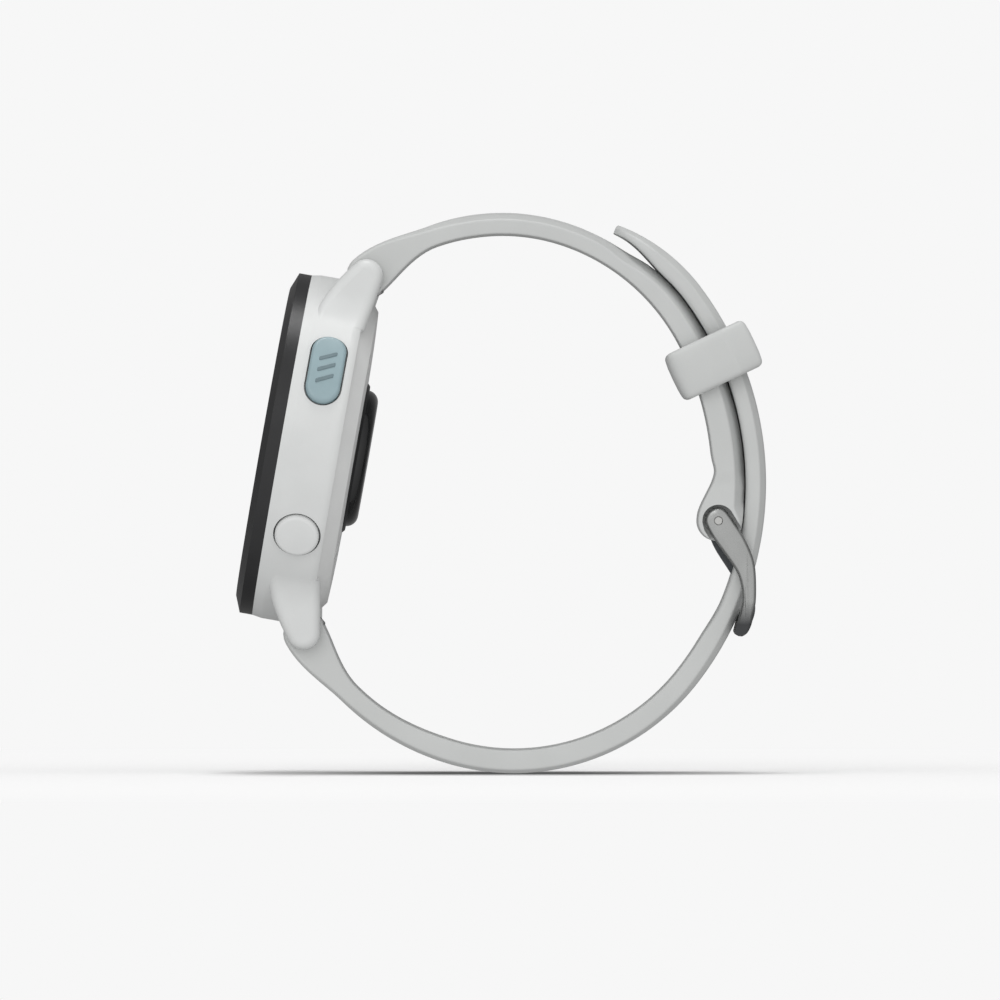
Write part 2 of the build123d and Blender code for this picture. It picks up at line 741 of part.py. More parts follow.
with BuildPart() as lower_strap:
    with BuildSketch(Plane.XZ):
        last_radius, last_turn = lower_arcs[-1]
        inner_arcs = lower_arcs[:-1] + [(last_radius, last_turn - tip_taper_turn)]
        with BuildLine():
            outer_start, outer_end = arc_chain(bar_centre(-1), lower_heading, lower_arcs, -half)
            inner_start, inner_end = arc_chain(bar_centre(-1), lower_heading, inner_arcs, half)
            Line(outer_start, inner_start)
            tip_inner = outer_end + Vector(-0.45, -0.9) * tip_thickness
            Polyline(outer_end, tip_inner, inner_end)
        make_face()
        strap_end(-1, lower_heading, lower_arcs)
    extrude(amount=strap_width / 2, both=True)
    with BuildSketch(Plane.XY):
        plan_outline(-16, 18, lower_middle_half, 40)
    extrude(amount=80, mode=Mode.INTERSECT)
    bar_openings(-1)
    # The free end is rounded, seen from above.
    with BuildSketch(Plane.XY.offset(tip_height)):
        tip_x = outer_end.X - 0.5
        side_x = tip_x + tip_corner
        clear = lower_middle_half + 1
        for way in (1, -1):
            with BuildLine():
                Polyline((side_x, way * lower_middle_half), (side_x, way * clear), (tip_x - 1, way * clear),
                         (tip_x - 1, way * tip_half), (tip_x, way * tip_half))
                ThreePointArc((tip_x, way * tip_half),
                              (tip_x + 0.29 * tip_corner, way * (0.29 * tip_half + 0.71 * lower_middle_half)),
                              (side_x, way * lower_middle_half))
            make_face()
    extrude(amount=20, mode=Mode.SUBTRACT)
    # The row of holes, spaced along the middle of the strap from the one the tongue is in.
    for count in range(hole_count):
        with BuildSketch(hole_plane(first_hole + count * hole_pitch)):
            SlotOverall(hole_length, hole_width)
        extrude(amount=strap_thickness, both=True, mode=Mode.SUBTRACT)
save(lower_strap, "lower_strap")

# ================================================================ spring bars
with BuildPart() as spring_bar_springs:
    for side in (1, -1):
        seat = case_point(-1.6, side * bar_reach, bar_depth)
        with BuildLine():
            coil = Helix(0.45, 3.1, 0.45, center=seat, direction=case_plane.x_dir)
        with BuildSketch(Plane(coil @ 0, z_dir=coil % 0)):
            Circle(0.1)
        sweep(path=coil, is_frenet=True)
save(spring_bar_springs, "spring_bar_springs")

tube_half = 9.8
for label, side in (("upper", 1), ("lower", -1)):
    middle_plane = bar_plane(side)
    with BuildPart() as tube:
        with BuildSketch(middle_plane.offset(-tube_half)):
            Circle(bar_tube_radius)
        extrude(amount=2 * tube_half)
        with BuildSketch(middle_plane.offset(-tube_half)):
            Circle(bar_tip_radius)
        extrude(amount=-(bar_tip_reach - tube_half))
        with BuildSketch(middle_plane.offset(-1.8)):
            Circle(bar_bore_radius)
        extrude(amount=tube_half + 5, mode=Mode.SUBTRACT)
        with Locations(Location(knob_plane(side).offset(1.0))):
            with Locations((bar_travel / 2, 0)):
                Box(bar_travel + 1.3, 1.2, 2.0, mode=Mode.SUBTRACT)
    save(tube, f"{label}_spring_bar")
    with BuildPart() as release:
        with BuildSketch(middle_plane.offset(3.1)):
            Circle(bar_bore_radius - fit_gap)
        extrude(amount=tube_half - 3.2)
        with BuildSketch(middle_plane.offset(tube_half - 0.2)):
            Circle(bar_tip_radius)
        extrude(amount=bar_tip_reach - tube_half + 0.2)
        with BuildSketch(knob_plane(side)):
            Circle(0.5)
        extrude(amount=knob_reach - 0.4)
        with BuildSketch(knob_plane(side).offset(knob_reach - 0.8)):
            Circle(knob_radius)
        extrude(amount=0.8)
        fillet(release.faces().filter_by(GeomType.PLANE).sort_by(Axis(
            knob_plane(side).origin, knob_plane(side).z_dir))[-1].edges(), radius=0.25)
    save(release, f"{label}_quick_release")

# ================================================================ buckle
with BuildPart() as buckle_pin:
    with BuildSketch(Plane.XZ):
        with Locations((pin_x, pin_z)):
            Circle(pin_radius)
    extrude(amount=arm_inner - 0.2, both=True)
    with BuildSketch(Plane.XZ):
        with Locations((pin_x, pin_z)):
            Circle(pin_tip_radius)
    extrude(amount=arm_outer - 0.05, both=True)
save(buckle_pin, "buckle_pin")

with BuildPart() as buckle_frame:
    with BuildSketch(Plane.XZ.offset(arm_inner)):
        arm_outline()
        with Locations((pin_x, pin_z)):
            Circle(pin_tip_radius + fit_gap, mode=Mode.SUBTRACT)
    extrude(amount=arm_outer - arm_inner)
    mirror(about=Plane.XZ)
    with BuildSketch(Plane.XZ):
        with Locations((bar_x, bar_z)):
            SlotOverall(bar_length, bar_thickness, rotation=bar_angle)
    extrude(amount=arm_outer, both=True)
    # Where the tongue's tip rests, the crossbar is cut down.
    with BuildSketch(Plane.XZ):
        with Locations(Location((bar_x, bar_z), bar_angle)):
            with Locations((0, bar_notch - bar_thickness)):
                Rectangle(2 * bar_length, 2 * bar_thickness)
    extrude(amount=tongue_half + 0.3, both=True, mode=Mode.SUBTRACT)
save(buckle_frame, "buckle_frame")

with BuildPart() as buckle_tongue:
    with BuildSketch(Plane.XZ):
        with BuildLine():
            Spline((26.1, 30.5), (26.65, 28.65), (28.08, 26.3), (29.6, 24.0), (30.75, 22.3), (31.14, 21.0),
                   (31.06, 19.9), (30.5, 18.6))
        trace(line_width=tongue_thickness)
        with Locations((pin_x, pin_z)):
            Circle(tongue_eye_radius)
            Circle(pin_radius + fit_gap, mode=Mode.SUBTRACT)
    extrude(amount=tongue_half, both=True)
save(buckle_tongue, "buckle_tongue")

# ================================================================ keeper loop
keeper_direction = Vector(1, 0, 0).rotate(Axis.Y, -keeper_heading)
keeper_plane = Plane((keeper_x, 0, keeper_z), x_dir=(0, 1, 0), z_dir=keeper_direction)
with BuildPart() as keeper_loop:
    with BuildSketch(keeper_plane):
        RectangleRounded(2 * keeper_half, keeper_height, 2.0)
        RectangleRounded(2 * keeper_inner_half, keeper_height - 2 * keeper_wall, 0.5, mode=Mode.SUBTRACT)
    extrude(amount=keeper_length / 2, both=True)
save(keeper_loop, "keeper_loop")
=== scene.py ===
import math
import bmesh
import bpy
from mathutils import Matrix, Vector


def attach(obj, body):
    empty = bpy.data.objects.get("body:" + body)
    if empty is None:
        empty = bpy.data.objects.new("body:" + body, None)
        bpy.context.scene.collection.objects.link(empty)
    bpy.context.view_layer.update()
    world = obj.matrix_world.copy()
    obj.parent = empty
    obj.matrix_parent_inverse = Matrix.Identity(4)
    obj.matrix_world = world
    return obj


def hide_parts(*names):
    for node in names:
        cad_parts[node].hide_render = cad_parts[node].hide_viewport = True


# Looks of a GPS running watch that stands on its buckled strap. The working unit here is the
# millimetre, turned into metres when a mesh is made; the frame is the CAD model's own.

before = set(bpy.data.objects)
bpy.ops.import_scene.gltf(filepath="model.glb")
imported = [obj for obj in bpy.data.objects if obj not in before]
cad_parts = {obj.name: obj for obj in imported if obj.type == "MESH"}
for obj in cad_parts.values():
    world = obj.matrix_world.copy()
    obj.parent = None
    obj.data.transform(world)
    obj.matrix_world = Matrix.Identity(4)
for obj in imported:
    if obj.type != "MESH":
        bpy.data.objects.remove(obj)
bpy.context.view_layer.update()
MM = 0.001

# ---------------------------------------------------------------- sizes shared with the CAD model
# Middle of the case's front, and how far the case leans back.
CASE_X, CASE_Z, CASE_TILT = -29.84, 41.37, math.radians(10.0)
# Spring bars: how far above and below the case's middle, and how far behind its front.
SPRING_BAR_REACH, SPRING_BAR_DEPTH = 22.65, 9.25
STRAP_END_RADIUS, STRAP_HALF_WIDTH = 2.65, 9.98
# Each strap's line in the side view: its heading at the spring bar in degrees, then (radius, turn) arcs.
UPPER_HEADING, UPPER_ARCS = 42.4, [(24.9, -60.4), (27.0, -45.3), (39.1, -27.8)]
LOWER_HEADING, LOWER_ARCS = -62.25, [(30.35, 45.9), (27.65, 68.4), (39.4, 74.6), (21.9, 32.5)]
# The lower strap's holes, measured along its line.
HOLE_FIRST, HOLE_PITCH, HOLE_COUNT = 37.0, 6.8, 12
PIN_X, PIN_Z = 26.84, 31.52
# Middle of the buckle's crossbar, its lean, and how high over that middle the tongue rests.
CROSSBAR_X, CROSSBAR_Z, CROSSBAR_ANGLE, NOTCH_HEIGHT = 30.0, 18.6, math.radians(63.0), 0.265
KEEPER_X, KEEPER_Z, KEEPER_HEADING = 26.33, 51.5, math.radians(-64.8)
# Start button: radius of the caps' faces, depth behind the case's front, place round the case.
BUTTON_RADIUS, BUTTON_DEPTH, RUN_ANGLE = 22.3, 6.35, math.radians(28.0)


def case_point(across, up, depth):
    """A point of the tilted case: across to three o'clock, up to twelve, depth inwards."""
    c, s = math.cos(CASE_TILT), math.sin(CASE_TILT)
    return Vector((CASE_X + up * s + depth * c, -across, CASE_Z + up * c - depth * s))


# ---------------------------------------------------------------- mesh helpers
SHARP_ANGLE = math.radians(32)


def make_object(name, verts, faces):
    mesh = bpy.data.meshes.new(name)
    mesh.from_pydata([tuple(Vector(v) * MM) for v in verts], [], faces)
    bm = bmesh.new()
    bm.from_mesh(mesh)
    bmesh.ops.recalc_face_normals(bm, faces=bm.faces)
    bm.to_mesh(mesh)
    bm.free()
    obj = bpy.data.objects.new(name, mesh)
    bpy.context.scene.collection.objects.link(obj)
    return obj


def shade(obj):
    obj.data.shade_smooth()
    obj.data.set_sharp_from_angle(angle=SHARP_ANGLE)


def loft(name, rings, closed=False):
    """A skin over rings that all have the same number of points, capped unless it closes."""
    count, verts, faces = len(rings[0]), [p for ring in rings for p in ring], []
    for i in range(len(rings) - (0 if closed else 1)):
        a, b = i * count, (i + 1) % len(rings) * count
        for j in range(count):
            k = (j + 1) % count
            faces.append((a + j, a + k, b + k, b + j))
    if not closed:
        faces.append(tuple(range(count)))
        faces.append(tuple(range((len(rings) - 1) * count, len(rings) * count)))
    return make_object(name, verts, faces)


def carve(obj, cutters, operation="DIFFERENCE"):
    """Cuts each cutter out of obj, or joins it on, and keeps the result as plain mesh."""
    for cutter in cutters:
        modifier = obj.modifiers.new("carve", "BOOLEAN")
        modifier.operation, modifier.object, modifier.solver = operation, cutter, "MANIFOLD"
    bpy.context.view_layer.update()
    result = bpy.data.meshes.new_from_object(obj.evaluated_get(bpy.context.evaluated_depsgraph_get()))
    obj.modifiers.clear()
    obj.data = result
    for cutter in cutters:
        bpy.data.objects.remove(cutter)
    return obj


def soften(corners, steps=4):
    """A closed outline with each (x, y, reach) corner rounded off."""
    points = []
    for i, (x, y, radius) in enumerate(corners):
        here = Vector((x, y))
        back = Vector(corners[i - 1][:2]) - here
        ahead = Vector(corners[(i + 1) % len(corners)][:2]) - here
        if radius <= 0:
            points.append(here)
            continue
        reach = radius / math.tan(back.angle(ahead) / 2)
        start = here + back.normalized() * min(reach, 0.48 * back.length)
        end = here + ahead.normalized() * min(reach, 0.48 * ahead.length)
        for k in range(steps + 1):
            t = k / steps
            points.append((1 - t) ** 2 * start + 2 * t * (1 - t) * here + t * t * end)
    return points


def curve_through(points, step):
    """Points evenly spaced by about step along a smooth closed curve through the given ones."""
    n, dense = len(points), []
    for i in range(n):
        before, start, end, after = [Vector(points[(i + k) % n]) for k in (-1, 0, 1, 2)]
        for k in range(16):
            t = k / 16
            dense.append(0.5 * (2 * start + (end - before) * t
                                + (2 * before - 5 * start + 4 * end - after) * t * t
                                + (3 * start - before - 3 * end + after) * t ** 3))
    dense.append(Vector(points[0]))
    lengths = [0.0]
    for a, b in zip(dense, dense[1:]):
        lengths.append(lengths[-1] + (b - a).length)
    count = round(lengths[-1] / step)
    result, j = [], 0
    for i in range(count):
        target = lengths[-1] * i / count
        while lengths[j + 1] < target:
            j += 1
        share = (target - lengths[j]) / (lengths[j + 1] - lengths[j])
        result.append(dense[j].lerp(dense[j + 1], share))
    return result


def evenly(points, step):
    """A closed outline again, with its long sides divided into steps."""
    result = []
    for i, p in enumerate(points):
        after = points[(i + 1) % len(points)]
        count = max(1, round((after - p).length / step))
        result += [p.lerp(after, k / count) for k in range(count)]
    return result


def inset(outline, amount):
    """The closed outline moved inwards by amount."""
    n = len(outline)
    area = sum(outline[i - 1].x * outline[i].y - outline[i].x * outline[i - 1].y for i in range(n))
    side = 1 if area > 0 else -1
    moved = []
    for i, p in enumerate(outline):
        along = (outline[(i + 1) % n] - outline[i - 1]).normalized()
        moved.append(p + Vector((-along.y, along.x)) * side * amount)
    return moved


def ease(t):
    t = min(max(t, 0.0), 1.0)
    return t * t * (3 - 2 * t)


def between(value, low, high, a, b):
    """Goes smoothly from a at low to b at high."""
    return a + (b - a) * ease((value - low) / (high - low))


def follow(table, value):
    """Reads a table of (key, value) pairs, with rising keys, along a smooth curve."""
    for i in range(len(table) - 1):
        if value <= table[i + 1][0] or i == len(table) - 2:
            break
    before, after = table[max(i - 1, 0)], table[min(i + 2, len(table) - 1)]
    (k0, v0), (k1, v1) = table[i], table[i + 1]
    t, span = min(max((value - k0) / (k1 - k0), 0.0), 1.0), k1 - k0
    m0 = (v1 - before[1]) / (k1 - before[0]) * span
    m1 = (after[1] - v0) / (after[0] - k0) * span
    return ((2 * t ** 3 - 3 * t * t + 1) * v0 + (t ** 3 - 2 * t * t + t) * m0
            + (3 * t * t - 2 * t ** 3) * v1 + (t ** 3 - t * t) * m1)


def after_arc(point, heading, radius, turn):
    """Where a line that starts at point with this heading gets to after an arc."""
    side = 1 if turn > 0 else -1
    middle = point + Vector((-math.sin(heading), math.cos(heading))) * radius * side
    spoke = point - middle
    spoke.rotate(Matrix.Rotation(turn, 2))
    return middle + spoke


class Chain:
    """A line of arcs in the side view, measured from the middle of a spring bar."""

    def __init__(self, side, heading, arcs):
        centre = case_point(0, side * SPRING_BAR_REACH, SPRING_BAR_DEPTH)
        self.side, self.arcs, self.length = side, [], 0.0
        point, angle = Vector((centre.x, centre.z)), math.radians(heading)
        for radius, degrees in arcs:
            turn = math.radians(degrees)
            self.arcs.append((self.length, point, angle, radius, turn))
            point = after_arc(point, angle, radius, turn)
            angle += turn
            self.length += radius * abs(turn)

    def at(self, s):
        """Point and outward direction, both as (x, z), at distance s. The line is straight past its ends."""
        start, point, angle, radius, turn = [arc for arc in self.arcs if arc[0] <= max(s, 0.0)][-1]
        along = min(max(s - start, 0.0), radius * abs(turn))
        turned = math.copysign(along / radius, turn)
        heading = angle + turned
        ahead = Vector((math.cos(heading), math.sin(heading)))
        here = after_arc(point, angle, radius, turned) + ahead * (s - start - along)
        return here, Vector((-ahead.y, ahead.x)) * self.side


def strap_ring(here, outward, half, top, brow, rim, slope, bottom, lip=0.0, corner=0.3, roundness=(1.4, 0.4)):
    """One cross-section of a strap. Its outer face is at top over the middle and at brow where, slope from
    the edge, it starts to turn down to rim. Its inner face is at bottom, and the edges of that face stand
    lip further in. The inner corners are rounded by corner, brow and rim by the two of roundness."""
    side = [(0.36 * half, top, 1.5), (half - slope, brow, roundness[0]), (half, rim, roundness[1]),
            (half, -bottom - lip, corner), (half - 1.3, -bottom - lip, 0.5), (half - 2.7, -bottom, 1.2)]
    outline = soften(side + [(-y, h, r) for y, h, r in reversed(side)], 6)
    return [(here.x + outward.x * p.y, p.x, here.y + outward.y * p.y) for p in outline]


def stations(start, end, step):
    count = max(1, round((end - start) / step))
    return [start + (end - start) * i / count for i in range(count)]


# ---------------------------------------------------------------- materials
def new_material(name):
    made = bpy.data.materials.new(name)
    made.use_nodes = True
    tree = made.node_tree
    return made, tree, tree.nodes["Principled BSDF"]


def noise(tree, scale, detail=3.0, stretch=(1, 1, 1)):
    """A noise texture in the object's own space, where scale counts features per metre."""
    where = tree.nodes.new("ShaderNodeTexCoord")
    mapping = tree.nodes.new("ShaderNodeMapping")
    mapping.inputs["Scale"].default_value = stretch
    texture = tree.nodes.new("ShaderNodeTexNoise")
    texture.inputs["Scale"].default_value = scale
    texture.inputs["Detail"].default_value = detail
    tree.links.new(where.outputs["Object"], mapping.inputs["Vector"])
    tree.links.new(mapping.outputs["Vector"], texture.inputs["Vector"])
    return texture.outputs["Fac"]


def remap(tree, source, low, high, from_low=0.3, from_high=0.7):
    node = tree.nodes.new("ShaderNodeMapRange")
    node.inputs["From Min"].default_value, node.inputs["From Max"].default_value = from_low, from_high
    node.inputs["To Min"].default_value, node.inputs["To Max"].default_value = low, high
    tree.links.new(source, node.inputs["Value"])
    return node.outputs["Result"]


def blend_colours(tree, factor, first, second):
    node = tree.nodes.new("ShaderNodeMix")
    node.data_type = "RGBA"
    tree.links.new(factor, node.inputs["Factor"])
    for socket, value in ((node.inputs[6], first), (node.inputs[7], second)):
        if isinstance(value, bpy.types.NodeSocket):
            tree.links.new(value, socket)
        else:
            socket.default_value = (*value, 1)
    return node.outputs[2]


def bump(tree, shader, height, strength, distance):
    node = tree.nodes.new("ShaderNodeBump")
    node.inputs["Strength"].default_value = strength
    node.inputs["Distance"].default_value = distance * MM
    tree.links.new(height, node.inputs["Height"])
    tree.links.new(node.outputs["Normal"], shader.inputs["Normal"])


SPECK_SCALE, SPECK_BAND = 9000.0, (0.62, 0.74)
GLOSS_SPREAD = 0.06


def finish_of(name, colour, roughness, metallic=0.0, mottle=0.04, cloud=250.0, grain=6000.0, relief=0.012,
              specks=0.0, stretch=(1, 1, 1), coat=0.0, specular=0.5, transmission=0.0, ior=1.5):
    """A moulded, painted or brushed finish: mottled colour, uneven gloss and a fine grain."""
    made, tree, shader = new_material(name)
    soft = noise(tree, cloud, 4.0)
    light = [min(1.0, c * (1 + mottle)) for c in colour]
    dark = [c * (1 - mottle) for c in colour]
    tone = blend_colours(tree, remap(tree, soft, 0, 1), dark, light)
    if specks:
        fine = remap(tree, noise(tree, SPECK_SCALE, 1.0), 0, specks, *SPECK_BAND)
        tone = blend_colours(tree, fine, tone, [c * 0.6 for c in colour])
    tree.links.new(tone, shader.inputs["Base Color"])
    texture = noise(tree, grain, 3.0, stretch)
    gloss = remap(tree, texture, max(0.0, roughness - GLOSS_SPREAD), min(1.0, roughness + GLOSS_SPREAD))
    tree.links.new(gloss, shader.inputs["Roughness"])
    bump(tree, shader, texture, 0.5, relief)
    shader.inputs["Metallic"].default_value = metallic
    shader.inputs["Specular IOR Level"].default_value = specular
    shader.inputs["Coat Weight"].default_value = coat
    shader.inputs["Coat Roughness"].default_value = 0.08
    shader.inputs["Transmission Weight"].default_value = transmission
    shader.inputs["IOR"].default_value = ior
    return made


def mist_silicone():
    """Moulded silicone: matt mist grey with a faint bloom, fine stipple and a trace of dust."""
    made = finish_of("mist_silicone", (0.505, 0.515, 0.508), 0.52, mottle=0.025, cloud=160.0, grain=7000.0,
                     relief=0.010, specks=0.10, specular=0.42)
    shader = made.node_tree.nodes["Principled BSDF"]
    shader.inputs["Sheen Weight"].default_value = 0.12
    shader.inputs["Sheen Roughness"].default_value = 0.5
    return made


def painted_shade_low_end(made, colour, low, high):
    """Paints shade into a finish: darker towards its piece's lower end, from height high down to height low.
    """
    tree = made.node_tree
    base = tree.nodes["Principled BSDF"].inputs["Base Color"]
    where = tree.nodes.new("ShaderNodeTexCoord")
    parts = tree.nodes.new("ShaderNodeSeparateXYZ")
    tree.links.new(where.outputs["Object"], parts.inputs["Vector"])
    factor = remap(tree, parts.outputs["Z"], 1.0, 0.0, low * MM, high * MM)
    tree.links.new(blend_colours(tree, factor, base.links[0].from_socket, colour), base)


def display_pane():
    """An unlit reflective display: a dark field of fine cells."""
    made, tree, shader = new_material("display_pane")
    where = tree.nodes.new("ShaderNodeTexCoord")
    cells = tree.nodes.new("ShaderNodeTexChecker")
    cells.inputs["Scale"].default_value = 5200.0
    cells.inputs["Color1"].default_value = (0.017, 0.021, 0.022, 1)
    cells.inputs["Color2"].default_value = (0.026, 0.031, 0.031, 1)
    tree.links.new(where.outputs["Object"], cells.inputs["Vector"])
    cloud = remap(tree, noise(tree, 60.0), 0, 0.5)
    tone = blend_colours(tree, cloud, cells.outputs["Color"], (0.020, 0.026, 0.030))
    tree.links.new(tone, shader.inputs["Base Color"])
    tree.links.new(remap(tree, noise(tree, 900.0), 0.24, 0.34), shader.inputs["Roughness"])
    shader.inputs["Metallic"].default_value = 0.35
    return made


case_plastic = finish_of("mist_case_plastic", (0.61, 0.62, 0.615), 0.44, mottle=0.02, grain=5200.0,
                         relief=0.008, specks=0.06)
back_plastic = finish_of("back_cover_plastic", (0.66, 0.665, 0.66), 0.47, mottle=0.025, grain=5200.0,
                         relief=0.008, specks=0.06)
bezel_plastic = finish_of("bezel_black", (0.013, 0.013, 0.014), 0.36, mottle=0.12, grain=8000.0,
                          relief=0.006, specks=0.2, specular=0.36)
silicone = mist_silicone()
run_plastic = finish_of("run_cap_blue_grey", (0.255, 0.350, 0.378), 0.36, mottle=0.05, cloud=420.0,
                        grain=6500.0, relief=0.006, coat=0.12)
mark_plastic = finish_of("run_mark", (0.135, 0.19, 0.21), 0.42, mottle=0.05, grain=6500.0, relief=0.006)
cap_plastic = finish_of("button_cap_grey", (0.65, 0.66, 0.655), 0.40, mottle=0.03, grain=6000.0,
                        relief=0.007)
buckle_metal = finish_of("buckle_satin_steel", (0.33, 0.335, 0.33), 0.30, metallic=0.85, mottle=0.05,
                         grain=2600.0, relief=0.006, stretch=(1.0, 0.12, 1.0))
# Painted shade: the buckle's colour darkens towards its lower end round the crossbar.
painted_shade_low_end(buckle_metal, (0.05, 0.051, 0.053), 18.6, 21.6)
dark_metal = finish_of("tongue_dark_steel", (0.075, 0.08, 0.085), 0.34, metallic=0.9, mottle=0.07,
                       grain=3000.0, relief=0.006, stretch=(1.0, 0.15, 1.0))
bar_metal = finish_of("spring_bar_steel", (0.42, 0.42, 0.41), 0.28, metallic=1.0, mottle=0.05, grain=3200.0,
                      relief=0.004, stretch=(1.0, 8.0, 1.0))
knob_metal = finish_of("release_knob_steel", (0.33, 0.33, 0.33), 0.34, metallic=0.9, mottle=0.1,
                       grain=4200.0, relief=0.004)
lens_glass = finish_of("sensor_window_black", (0.004, 0.004, 0.005), 0.12, mottle=0.2, grain=1500.0,
                       relief=0.001, coat=0.15, specular=0.35)
trim_plastic = finish_of("sensor_trim_black", (0.010, 0.010, 0.011), 0.38, mottle=0.1, grain=7000.0,
                         relief=0.006, specular=0.3)
port_plastic = finish_of("port_plastic", (0.035, 0.036, 0.038), 0.45, mottle=0.1, grain=6000.0,
                         relief=0.006)
gold = finish_of("contact_gold", (0.78, 0.56, 0.25), 0.25, metallic=1.0, mottle=0.05, grain=4200.0,
                 relief=0.002)
board_green = finish_of("board_lacquer", (0.025, 0.110, 0.055), 0.38, mottle=0.2, cloud=900.0, grain=3000.0,
                        relief=0.02, coat=0.3)
foil = finish_of("battery_foil", (0.62, 0.63, 0.65), 0.30, metallic=0.9, mottle=0.05, cloud=500.0,
                 grain=1400.0, relief=0.03)
copper = finish_of("antenna_copper", (0.72, 0.40, 0.24), 0.30, metallic=1.0, mottle=0.08, grain=2600.0,
                   relief=0.004)
motor_metal = finish_of("motor_steel", (0.47, 0.46, 0.45), 0.30, metallic=1.0, mottle=0.06, grain=2600.0,
                        relief=0.004)
rubber = finish_of("seal_rubber", (0.022, 0.022, 0.022), 0.62, mottle=0.15, grain=5200.0, relief=0.012)
clear_glass = finish_of("cover_glass", (0.97, 0.98, 0.98), 0.03, mottle=0.01, grain=700.0, relief=0.0004,
                        transmission=1.0, ior=1.52)
pane = display_pane()

finishes = [
    (bezel_plastic, ["bezel"]),
    (clear_glass, ["cover_glass"]),
    (pane, ["display_module"]),
    (case_plastic, ["case_middle"]),
    (back_plastic, ["back_cover"]),
    (run_plastic, ["run_button"]),
    (cap_plastic, ["back_button", "light_button", "up_button", "down_button"]),
    (rubber, ["glass_adhesive", "bezel_seal", "button_seals", "back_cover_seal"]),
    (bar_metal, ["upper_spring_bar", "lower_spring_bar", "spring_bar_springs", "button_springs",
                 "buckle_pin"]),
    (knob_metal, ["upper_quick_release", "lower_quick_release"]),
    (dark_metal, ["back_cover_screws", "buckle_tongue"]),
    (motor_metal, ["button_switches", "vibration_motor_can", "vibration_motor_weight"]),
    (board_green, ["main_board", "sensor_board"]),
    (foil, ["battery"]),
    (copper, ["gps_antenna"]),
    (gold, ["beeper_disc", "charging_contacts"]),
    (trim_plastic, ["sensor_ring"]),
    (lens_glass, ["sensor_lens"]),
    (port_plastic, ["charging_port"]),
]
looks = {name: finish for finish, names in finishes for name in names}
for name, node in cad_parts.items():
    made = looks.get(name, bar_metal if name.endswith("_clip") else silicone)
    node.data.materials.clear()
    node.data.materials.append(made)


# ---------------------------------------------------------------- straps
HALF_THICK = 1.30        # from the line of a strap's arcs to its outer face, away from its ends
UPPER_INNER = 1.32       # from that line to the upper strap's inner face
UPPER_HALF_WIDTH, LOWER_HALF_WIDTH = 9.0, 8.1
THICK_END = 9.5          # length over which the thick end at the spring bar thins out
ROUND_END = [-2.62, -2.5, -2.2, -1.8, -1.2, -0.6]    # where the end rounds off past the spring bar
RING_STEP = 0.8          # between the cross-sections that a strap is made of
CONTACT = 0.02           # what is left between the two straps where they lie on each other
BEVEL_DROP = 1.35        # how far the upper strap's edge turns down where the lower strap covers it
BEAD_RADIUS, BEAD_TOP = 2.54, 39.3
PAST_EDGE = 12.0         # a cutter this far out to each side passes through the whole strap
TUBE_BORE, PIN_BORE, FRAME_EYE = 0.96, 0.86, 0.56
SLOT_HALF_WIDTH = 1.2    # of the slot in the bead that the tongue turns in


def prism(name, outline, low, high):
    """A cutter: an (x, z) outline pulled through the object from y = low to y = high."""
    return loft(name, [[(p[0], y, p[1]) for p in outline] for y in (low, high)])


def drill(name, x, z, radius, low=-PAST_EDGE, high=PAST_EDGE, steps=48):
    """A round cutter along y."""
    turns = [2 * math.pi * i / steps for i in range(steps)]
    outline = [(x + radius * math.cos(a), z + radius * math.sin(a)) for a in turns]
    return prism(name, outline, low, high)


def tube_bore(side):
    spot = case_point(0, side * SPRING_BAR_REACH, SPRING_BAR_DEPTH)
    return drill("tube", spot.x, spot.z, TUBE_BORE)


def release_notch(side):
    """A cutter for the notch through which the knob of a spring bar sticks out of the strap."""
    knob_across, inner_depth, outer_depth = 5.6, 0.6, 4.2
    centre = case_point(knob_across, side * SPRING_BAR_REACH, SPRING_BAR_DEPTH)
    along = Vector((0, 1, 0))
    out = (case_point(0, -0.77 * side, 0.64) - case_point(0, 0, 0)).normalized()
    over = along.cross(out)
    shape = soften([(-1.1, -1.0, 0.4), (2.4, -1.0, 0.4), (2.4, 1.0, 0.4), (-1.1, 1.0, 0.4)])
    depths = (inner_depth, outer_depth)
    return loft("notch", [[centre + along * p.x + over * p.y + out * d for p in shape] for d in depths])


def end_profile(s, top, bottom):
    """Heights of the outer and inner face over the line of arcs, near the spring bar."""
    if s < 0:
        round_off = math.sqrt(max(STRAP_END_RADIUS ** 2 - s * s, 0.01))
        return round_off, round_off
    return between(s, 0, THICK_END, STRAP_END_RADIUS, top), between(s, 0, THICK_END, STRAP_END_RADIUS, bottom)


upper = Chain(1, UPPER_HEADING, UPPER_ARCS)
lower = Chain(-1, LOWER_HEADING, LOWER_ARCS)
COVERING_START = 58      # distance along the lower strap from which it may lie on the upper one
covering_line = [lower.at(s)[0] for s in stations(COVERING_START, lower.length, 0.2)]


def room(here, outward):
    """How far the lower strap's inner face is from here, or a large value where it isn't above."""
    nearest = min(covering_line, key=lambda p: (p - here).length)
    gap = nearest - here
    return gap.length - HALF_THICK if gap.normalized().dot(outward) > 0.985 else 9.0


def bead_reach(z, step=0.04):
    """The x up to which the bead can go, at height z, before it lies on the lower strap."""
    x = PIN_X + 1.8
    while x < 31.2 and min((p - Vector((x + step, z))).length for p in covering_line) > HALF_THICK + CONTACT:
        x += step
    return x


